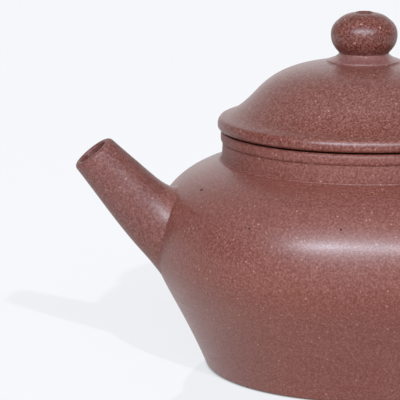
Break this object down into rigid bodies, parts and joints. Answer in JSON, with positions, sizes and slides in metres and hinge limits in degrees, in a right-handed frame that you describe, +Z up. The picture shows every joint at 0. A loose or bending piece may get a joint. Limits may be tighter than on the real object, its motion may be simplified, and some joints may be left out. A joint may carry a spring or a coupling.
{
  "type": "teapot",
  "caption": "Small unglazed clay teapot with a flared round body, straight spout, ear handle and loose domed lid, for brewing and pouring tea.",
  "frame": {"origin": "middle of the foot, on the plane that the pot stands on", "axes": "+Z up along the pot's axis, -X towards the spout, +X towards the handle"},
  "size_m": [0.141, 0.0948, 0.0803],
  "materials": {
    "pot_clay": "unglazed, burnished satin with fine grains",
    "lid_clay": "unglazed, burnished satin with fine grains",
    "inner_clay": "unglazed, matt, with fine grains"
  },
  "bodies": {
    "pot": {"base_disc": "pot_clay", "body_wall": "pot_clay", "shoulder_disc": "pot_clay", "neck_ring": "pot_clay", "mouth_ring": "pot_clay", "spout": "pot_clay", "strainer_dome": "inner_clay", "handle": "pot_clay"},
    "lid": {"lid_rim": "lid_clay", "lid_dome": "lid_clay", "lid_flange": "inner_clay", "knob_seat": "lid_clay", "knob": "lid_clay"}
  },
  "joints": [
    {"name": "lid_lift", "type": "slide", "parent": "pot", "child": "lid", "axis": [0, 0, 1], "range_m": [0, 0.06]}
  ]
}
